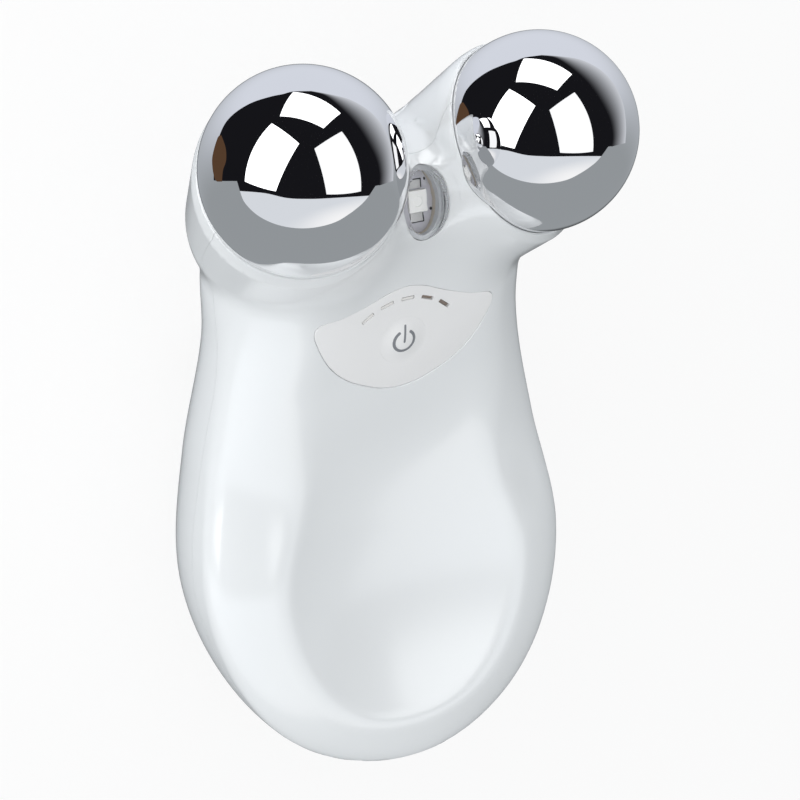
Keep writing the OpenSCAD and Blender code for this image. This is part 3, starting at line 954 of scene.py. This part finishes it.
def make_led():
    """Square light package with a round dimple in its top."""
    body = prism("led", rounded_box(2.95, 3.15, 0.15) + [LED_X, 0],
                 [(-3.88, 0), (-3.14, 0), (-3.08, -0.06)], LENS_M)
    dimple = lathe("dimple", [(0, -3.22), (0.7, -3.2), (0.86, -3.0), (0, -3.0)],
                   LENS_M @ frame_of([LED_X, 0, 0]), 64)
    boolean(body, dimple)
    drop(dimple)
    smooth(body, 25)
    return body


def lens_box(name, x, y, w, h, z0, z1, r=0.1):
    """Small rounded plate behind the lens, from z0 up to z1."""
    obj = prism(name, rounded_box(w, h, r), [(z0, 0), (z1, 0)], LENS_M @ frame_of([x, y, 0]))
    smooth(obj, 25)
    return obj


# ---------------------------------------------------------------- assembly
PEARL = dict(rough=0.34, coat=1.0, coat_rough=0.16, coat_ior=2.0, spread=0.01,
             rough_spread=0.03, scale=35, bump=0.01, bump_scale=900)
WHITE = dict(rough=0.36, coat=0.8, coat_rough=0.15, spread=0.01, scale=50, bump=0.01,
             bump_scale=900)
pearl = surface("pearl_white", (0.835, 0.855, 0.87), **PEARL)
pearl_rear = surface("pearl_white_rear", (0.83, 0.85, 0.865), **PEARL)
chrome = surface("mirror_plate", (0.93, 0.93, 0.94), 0.015, metallic=1.0, spread=0.01,
                 rough_spread=0.01, scale=20, bump=0.0)
panel_white = surface("panel_white", (0.86, 0.86, 0.865), **WHITE)
button_white = surface("button_white", (0.86, 0.86, 0.865), **WHITE)
mark_grey = surface("mark_grey", (0.22, 0.23, 0.25), 0.45, spread=0.05, scale=900)
# Dark brown of the two deeper guides: painted shade seen down into their slots.
guide_shaded_brown = surface("guide_shaded_brown", (0.29, 0.235, 0.20), 0.35, spread=0.1, scale=500)
# Near-black for the strips in the guides' gaps: painted shade, not a part's colour.
gap_shade_dark = surface("gap_shade_dark", (0.075, 0.06, 0.05), 0.4, spread=0.1, scale=500)
guide_milk = surface("guide_milk", (0.80, 0.79, 0.77), 0.35, spread=0.05, scale=500)
clear = surface("lens_clear_cap", (0.985, 0.99, 1.0), 0.015, transmission=1.0, ior=1.1,
                spread=0.005, rough_spread=0.01, bump=0.0)
tube_beige = surface("reflector_beige", (0.56, 0.51, 0.43), 0.4, spread=0.05, scale=300)
tube_grey = surface("reflector_grey", (0.58, 0.60, 0.62), 0.4, spread=0.05, scale=300)
board_lilac = surface("led_board_mask", (0.55, 0.55, 0.60), 0.45, spread=0.04, scale=600)
led_white = surface("led_ceramic", (0.88, 0.88, 0.86), 0.4, spread=0.03, scale=800)
solder = surface("solder", (0.50, 0.50, 0.50), 0.35, metallic=0.8, spread=0.08, scale=900,
                 bump=0.1, bump_scale=2500)
mark_dark = surface("board_ink", (0.03, 0.03, 0.035), 0.5, spread=0.1, scale=900)

front, rear = housing_halves()
front.name = "housing_front_shell"
rear.name = "housing_rear_shell"
for shell, node, mat in ((front, "front_housing", pearl), (rear, "rear_housing", pearl_rear)):
    shade_from_form(shell)
    place(shell, mat, node)

for side, tag in ((-1, "left"), (1, "right")):
    ball = make_ball(side)
    ball.name = "ball_" + tag
    place(ball, chrome, "ball_electrode_" + tag)

panel = make_panel()
panel.name = "leaf_panel"
place(panel, panel_white, "control_panel")
button = make_button()
button.name = "dome_button"
place(button, button_white, "power_button", body="button")
for k, piece in enumerate(make_symbol()):
    piece.name = ("symbol_ring", "symbol_bar")[k]
    place(piece, mark_grey, "power_symbol", body="button")
for k, m in enumerate(slot_frames()):
    # The last two guides sit deeper in their slots, and their dark brown is painted shade on top of
    # that real recess.
    guide = make_guide(m, -0.12, 0.16) if k < 3 else make_guide(m, -0.4, 0.1)
    guide.name = "level_guide_%d" % (k + 1)
    place(guide, guide_milk if k < 3 else guide_shaded_brown, "level_light_guides")
    if k < 3:
        # Dark strip in the gap above each of the three pale guides: painted shade.
        shade_strip = make_gap_shade(m, GAP_SHADE_WIDE)
        shade_strip.name = "gap_shade_strip_%d" % (k + 1)
        place(shade_strip, gap_shade_dark, "level_light_guides")

lens = lens_shell()
lens.name = "clear_cap"
place(lens, clear, "centre_lens")
for name, z0, z1, mat in (("reflector_low", -3.85, -3.0, tube_beige),
                          ("reflector_high", -3.0, -1.95, tube_grey)):
    piece = oval_tube(name, z0, z1)
    place(piece, mat, "lens_reflector")
board = prism("led_board_oval", oval(LENS_A, LENS_B), [(-4.9, 0), (-3.9, 0)], LENS_M)
place(board, board_lilac, "led_board")
led = make_led()
led.name = "led_package"
place(led, led_white, "treatment_led")
for k, y in enumerate((2.35, -2.35)):
    pad = lens_box("solder_tab_%d" % (k + 1), LED_X, y, 2.0, 1.2, -3.92, -3.8)
    place(pad, solder, "led_board")
    rim = lens_box("tab_outline_%d" % (k + 1), LED_X + 0.08, y * 1.04, 2.3, 1.35, -3.92, -3.87)
    place(rim, mark_dark, "led_board")
for k, (x, y) in enumerate(((1.93, 2.9), (2.7, -1.45))):
    dot = lens_box("board_dot_%d" % (k + 1), x, y, 0.45, 0.45, -3.92, -3.86, 0.2)
    place(dot, mark_dark, "led_board")

slots = {m["slot"]: m for m in REC["materials"]}
LOOK = {
    "brass_fitting": dict(color=(0.72, 0.55, 0.28), rough=0.35, metallic=1.0),
    "screw_steel": dict(color=(0.6, 0.6, 0.62), rough=0.35, metallic=1.0),
    "capacitor_metal": dict(color=(0.7, 0.7, 0.72), rough=0.35, metallic=1.0),
    "button_plastic": dict(color=(0.86, 0.86, 0.865), rough=0.36, coat=0.8, spread=0.01),
}
for sp in REC["subparts"]:
    slot = sp["material_slot"]
    mat = bpy.data.materials.get("m_" + slot)
    if mat is None:
        look = dict(color=tuple(slots[slot]["base_color"][:3]), rough=0.45)
        look.update(LOOK.get(slot, {}))
        mat = surface("m_" + slot, **look)
    dress(frame["nodes"][sp["node"]], mat)

# ---------------------------------------------------------------- stage
CAM_RIGHT = Vector((0.85863, -0.06064, 0.50900))
CAM_UP = Vector((0.19719, 0.95564, -0.21878))
CAM_FWD = Vector((0.47315, -0.28822, -0.83250))
CAM_POS = Vector((-0.16203, 0.10126, 0.31878))
FOCAL_PX = 2301.19
IMAGE_PX = 800
SENSOR = 36
ROOM_R = 0.7
BEHIND = 0.3
FLOOR_HALF = 2500
HUB = Vector((-0.0192, 0.0416, 0.045))

cam_data = bpy.data.cameras.new("camera")
cam_data.sensor_width = SENSOR
cam_data.lens = FOCAL_PX * SENSOR / IMAGE_PX
cam_data.clip_start = 0.01
cam = bpy.data.objects.new("camera", cam_data)
bpy.context.scene.collection.objects.link(cam)
rot = Matrix((CAM_RIGHT, CAM_UP, -CAM_FWD)).transposed()
cam.matrix_world = Matrix.Translation(CAM_POS) @ rot.to_4x4()
bpy.context.scene.camera = cam


def glossy_only(obj):
    """Stage piece that only reflections show."""
    obj.visible_camera = False
    obj.visible_diffuse = False
    obj.visible_shadow = False
    obj.visible_transmission = False
    obj.visible_volume_scatter = False


def softbox(name, dirs, dist, mat):
    """Lamp panel seen by light rays and reflections, at dist metres from the left ball."""
    verts = [tuple((HUB + Vector(d).normalized() * dist) / MM) for d in dirs]
    obj = new_mesh(name, verts, [(0, 1, 2, 3)])
    dress(obj, mat)
    obj.visible_camera = False


def bounced(u, v, dist):
    """Point dist from the hub that the left ball mirrors at (u, v) of its disc, in mm."""
    hub = np.array(HUB)
    eye = np.array(CAM_POS)
    to_hub = hub - eye
    far = np.linalg.norm(to_hub)
    axis = to_hub / far
    right = np.array(CAM_RIGHT) - axis * (axis @ np.array(CAM_RIGHT))
    up = np.array(CAM_UP) - axis * (axis @ np.array(CAM_UP))
    right /= np.linalg.norm(right)
    up /= np.linalg.norm(up)
    radius = BALL_R * MM
    spread = math.tan(math.asin(radius / far))
    ray = axis + (right * u + up * v) * spread
    ray /= np.linalg.norm(ray)
    start = eye - hub
    b = start @ ray
    touch = start + ray * (-b - math.sqrt(max(b * b - start @ start + radius ** 2, 0)))
    n = touch / radius
    ray = ray - 2 * (ray @ n) * n
    b = touch @ ray
    return (hub + touch + ray * (math.sqrt(b * b - touch @ touch + dist ** 2) - b)) / MM


def toned(name, verts, faces, colors):
    """Glowing mesh with a tone for each point, shown only to reflections."""
    obj = new_mesh(name, verts, faces)
    layer = obj.data.color_attributes.new("tone", "FLOAT_COLOR", "POINT")
    layer.data.foreach_set("color", np.array(colors, float).ravel())
    mat = emitter(name, (1, 1, 1), 1.0)
    nt = mat.node_tree
    attr = add_node(nt, "ShaderNodeAttribute", attribute_name="tone")
    em = next(n for n in nt.nodes if n.type == "EMISSION")
    nt.links.new(attr.outputs["Color"], em.inputs["Color"])
    dress(obj, mat)
    glossy_only(obj)


def through(points, n=6):
    """Smooth open line through the points."""
    p = np.array([points[0]] + list(points) + [points[-1]], float)
    line = []
    for a, b, c, d in zip(p, p[1:], p[2:], p[3:]):
        for t in np.arange(n) / n:
            line.append(b + 0.5 * t * (c - a + t * (2 * a - 5 * b + 4 * c - d
                                                    + t * (3 * (b - c) + d - a))))
    return line + [p[-1]]


def card_edge(outline, inner, tones):
    """Finer outline, and for each point its colour and where the fade toward it starts."""
    edge = []
    edge_tone = []
    for i, a in enumerate(outline):
        b = outline[(i + 1) % len(outline)]
        ca = np.array(tones.get(i, (*inner, 1.0)))
        cb = np.array(tones.get((i + 1) % len(outline), (*inner, 1.0)))
        for k in range(4):
            edge.append(np.array(a) * (1 - k / 4) + np.array(b) * k / 4)
            edge_tone.append(ca + (cb - ca) * k / 4)
    return edge, edge_tone


def card(name, outline, middle, dist, inner, tones=None):
    """Card whose mirror picture on the left ball has this outline.

    tones gives some corners a colour of their own and where the fade toward it starts."""
    edge, edge_tone = card_edge(outline, inner, tones or {})
    steps = 14
    n = len(edge)
    middle = np.array(middle)
    verts = [tuple(bounced(*middle, dist))]
    colors = [(*inner, 1)]
    for j in range(1, steps + 1):
        for q, tone in zip(edge, edge_tone):
            verts.append(tuple(bounced(*(middle + (q - middle) * j / steps), dist)))
            f = float(ease(min(tone[3], 0.99), 1.0, j / steps))
            colors.append((*(np.array(inner) * (1 - f) + tone[:3] * f), 1))
    faces = [(0, 1 + k, 1 + (k + 1) % n) for k in range(n)]
    for j in range(steps - 1):
        for k in range(n):
            a = 1 + j * n + k
            b = 1 + j * n + (k + 1) % n
            faces.append((a, a + n, b + n, b))
    toned(name, verts, faces, colors)


def fade_card(name, near, far, dist, dark, light):
    """Strip between two lines of the ball's picture that brightens from near to far."""
    steps = 12
    n = len(near)
    verts = []
    colors = []
    for j in range(steps + 1):
        t = j / steps
        tone = np.array(dark) + (np.array(light) - np.array(dark)) * t ** 1.4
        for a, b in zip(near, far):
            verts.append(tuple(bounced(*(np.array(a) * (1 - t) + np.array(b) * t), dist)))
            colors.append((*tone, 1))
    faces = [(j * n + k, j * n + k + 1, j * n + n + k + 1, j * n + n + k)
             for j in range(steps) for k in range(n - 1)]
    toned(name, verts, faces, colors)


def studio_room(low, high):
    """Sphere seen in reflections, shaded from low to high toward the camera's up.

    It dims to BEHIND where the camera looks."""
    bpy.ops.mesh.primitive_uv_sphere_add(segments=48, ring_count=32, radius=ROOM_R, location=HUB)
    obj = bpy.context.active_object
    obj.name = "studio_room"
    mat = bpy.data.materials.new("studio_room")
    nt, out = bare_tree(mat)
    geo = add_node(nt, "ShaderNodeNewGeometry")
    off = add_node(nt, "ShaderNodeVectorMath", {1: HUB}, {0: geo.outputs["Position"]},
                   operation="SUBTRACT").outputs[0]
    rise = map_range(nt, dot_with(nt, off, CAM_UP / ROOM_R), (-0.2, 0.8))
    dim = map_range(nt, dot_with(nt, off, CAM_FWD / ROOM_R), (0.90, 0.97), (1.0, BEHIND))
    em = add_node(nt, "ShaderNodeEmission", None,
                  {"Color": mixed_color(nt, rise, low, high), "Strength": dim})
    nt.links.new(em.outputs[0], out)
    dress(obj, mat)
    glossy_only(obj)


def lamp(name, strength):
    return emitter(name, (0.985, 0.995, 1), strength)


softbox("softbox_top", [(0.06, 0.965, -0.235), (0.487, 0.809, 0.33), (0.104, 0.784, 0.612),
                        (-0.378, 0.922, 0.08)], 0.45, lamp("top_light", 1.9))
softbox("softbox_left", [(-0.528, 0.846, 0.071), (-0.39, 0.645, 0.657), (-0.839, -0.145, 0.524),
                         (-0.997, -0.005, -0.04)], 0.45, lamp("left_light", 2.2))
softbox("softbox_right", [(0.393, 0.666, 0.635), (-0.18, 0.548, 0.817), (-0.089, -0.255, 0.963),
                          (0.539, -0.277, 0.796)], 0.45, lamp("right_light", 1.1))
softbox("neck_fill", [(-0.35, -0.42, 0.84), (0.35, -0.42, 0.84), (0.35, -0.75, 0.56),
                      (-0.35, -0.75, 0.56)], 0.16, lamp("neck_light", 1.5))
bpy.data.objects["neck_fill"].visible_glossy = False
bpy.data.objects["neck_fill"].visible_shadow = False
studio_room((0.30, 0.32, 0.335), (0.68, 0.71, 0.78))
DARK = (0.008, 0.008, 0.010)
FADE_NEAR = [(0.063, 0.745), (0.202, 0.705), (0.365, 0.573), (0.494, 0.435), (0.599, 0.273),
             (0.68, 0.11), (0.711, -0.03), (0.706, -0.132)]
FADE_FAR = [(0.067, 0.75), (0.272, 0.712), (0.447, 0.662), (0.622, 0.556), (0.744, 0.413),
            (0.814, 0.25), (0.84, 0.064), (0.84, -0.087)]
TABLE_EDGE = [(-0.596, -0.182), (-0.362, -0.202), (-0.152, -0.248), (0.059, -0.256),
              (0.246, -0.249), (0.614, -0.226)]
UNDER_FADE = [(0.7 * a[0] + 0.3 * b[0], 0.7 * a[1] + 0.3 * b[1])
              for a, b in zip(FADE_NEAR, FADE_FAR)]
DARK_RISE = [(-0.81, 0.243), (-0.775, 0.36), (-0.715, 0.47), (-0.614, 0.564), (-0.474, 0.643),
             (-0.31, 0.695), (-0.194, 0.719), (-0.101, 0.742), (0.063, 0.747)]
WHITE_ARC = [(0.614, -0.226), (0.551, -0.299), (0.433, -0.393), (0.292, -0.475), (0.105, -0.523),
             (-0.083, -0.528), (-0.27, -0.489), (-0.433, -0.407), (-0.55, -0.291), (-0.596, -0.182)]
card("dark_card", through(DARK_RISE) + through(UNDER_FADE)[1:] + [(0.673, -0.135)]
     + through(TABLE_EDGE[::-1]) + [(-0.623, -0.089), (-0.765, -0.089), (-0.84, -0.083),
                                    (-0.84, 0.103)], (-0.05, 0.1), 0.65, DARK)
fade_card("fade_card", through(FADE_NEAR), through(FADE_FAR), 0.64, DARK, (0.60, 0.62, 0.66))
TABLE = np.array((0.70, 0.73, 0.77))
TABLE_TONES = {k: (*(TABLE + (0.97 - TABLE) * math.sin(math.pi * (k - 26) / 40) ** 2), 0.0)
               for k in range(27, 66)}
card("white_card", through(TABLE_EDGE) + through(WHITE_ARC)[1:-1], (0.0, -0.38), 0.62,
     tuple(TABLE), TABLE_TONES)
card("brown_card", through([
    (-0.767, 0.336), (-0.802, 0.313), (-0.85, 0.15), (-0.851, 0.034), (-0.833, -0.059),
    (-0.81, -0.094)]) + through([(-0.763, -0.094), (-0.753, 0.011), (-0.724, 0.104),
                                 (-0.728, 0.22), (-0.767, 0.336)])[:-1],
    (-0.79, 0.11), 0.59, (0.094, 0.05, 0.027))


def seen_rays(nt):
    """1 for camera, glossy and transmission rays, else 0."""
    path = add_node(nt, "ShaderNodeLightPath").outputs
    first = add_node(nt, "ShaderNodeMath", None,
                     {0: path["Is Camera Ray"], 1: path["Is Glossy Ray"]}, operation="MAXIMUM")
    both = add_node(nt, "ShaderNodeMath", None,
                    {0: first.outputs[0], 1: path["Is Transmission Ray"]}, operation="MAXIMUM")
    return both.outputs[0]


def floor_material(glow):
    """Glows white for seen rays by the share glow, and is plain and pale for light."""
    mat = bpy.data.materials.new("floor_white")
    nt, out = bare_tree(mat)
    dif = add_node(nt, "ShaderNodeBsdfDiffuse", {"Color": (0.86, 0.86, 0.86, 1)})
    em = add_node(nt, "ShaderNodeEmission")
    share = add_node(nt, "ShaderNodeMath", {1: glow}, {0: seen_rays(nt)}, operation="MULTIPLY")
    mix = add_node(nt, "ShaderNodeMixShader", None,
                   {"Fac": share.outputs[0], 1: dif.outputs[0], 2: em.outputs[0]})
    nt.links.new(mix.outputs[0], out)
    return mat


floor = new_mesh("floor", [(x * FLOOR_HALF, y * FLOOR_HALF, 0)
                           for x, y in ((-1, -1), (1, -1), (1, 1), (-1, 1))], [(0, 1, 2, 3)])
dress(floor, floor_material(0.85))
floor.visible_glossy = False


def studio_world(low, high):
    """White to the eye. As a lamp it shades from low to high toward the head end."""
    world = bpy.data.worlds.new("studio")
    bpy.context.scene.world = world
    nt, out = bare_tree(world, "ShaderNodeOutputWorld")
    seen = add_node(nt, "ShaderNodeBackground", {"Color": (1, 1, 1, 1)})
    coord = add_node(nt, "ShaderNodeTexCoord")
    rise = dot_with(nt, coord.outputs["Generated"], (-0.8, 0.59, 0.1))
    strength = map_range(nt, rise, (-1.0, 1.0), (low, high), "LINEAR")
    light = add_node(nt, "ShaderNodeBackground", {"Color": (0.97, 0.99, 1, 1)},
                     {"Strength": strength})
    mix = add_node(nt, "ShaderNodeMixShader", None,
                   {"Fac": seen_rays(nt), 1: light.outputs[0], 2: seen.outputs[0]})
    nt.links.new(mix.outputs[0], out)


studio_world(0.27, 1.24)
bpy.context.scene.view_settings.view_transform = "Standard"
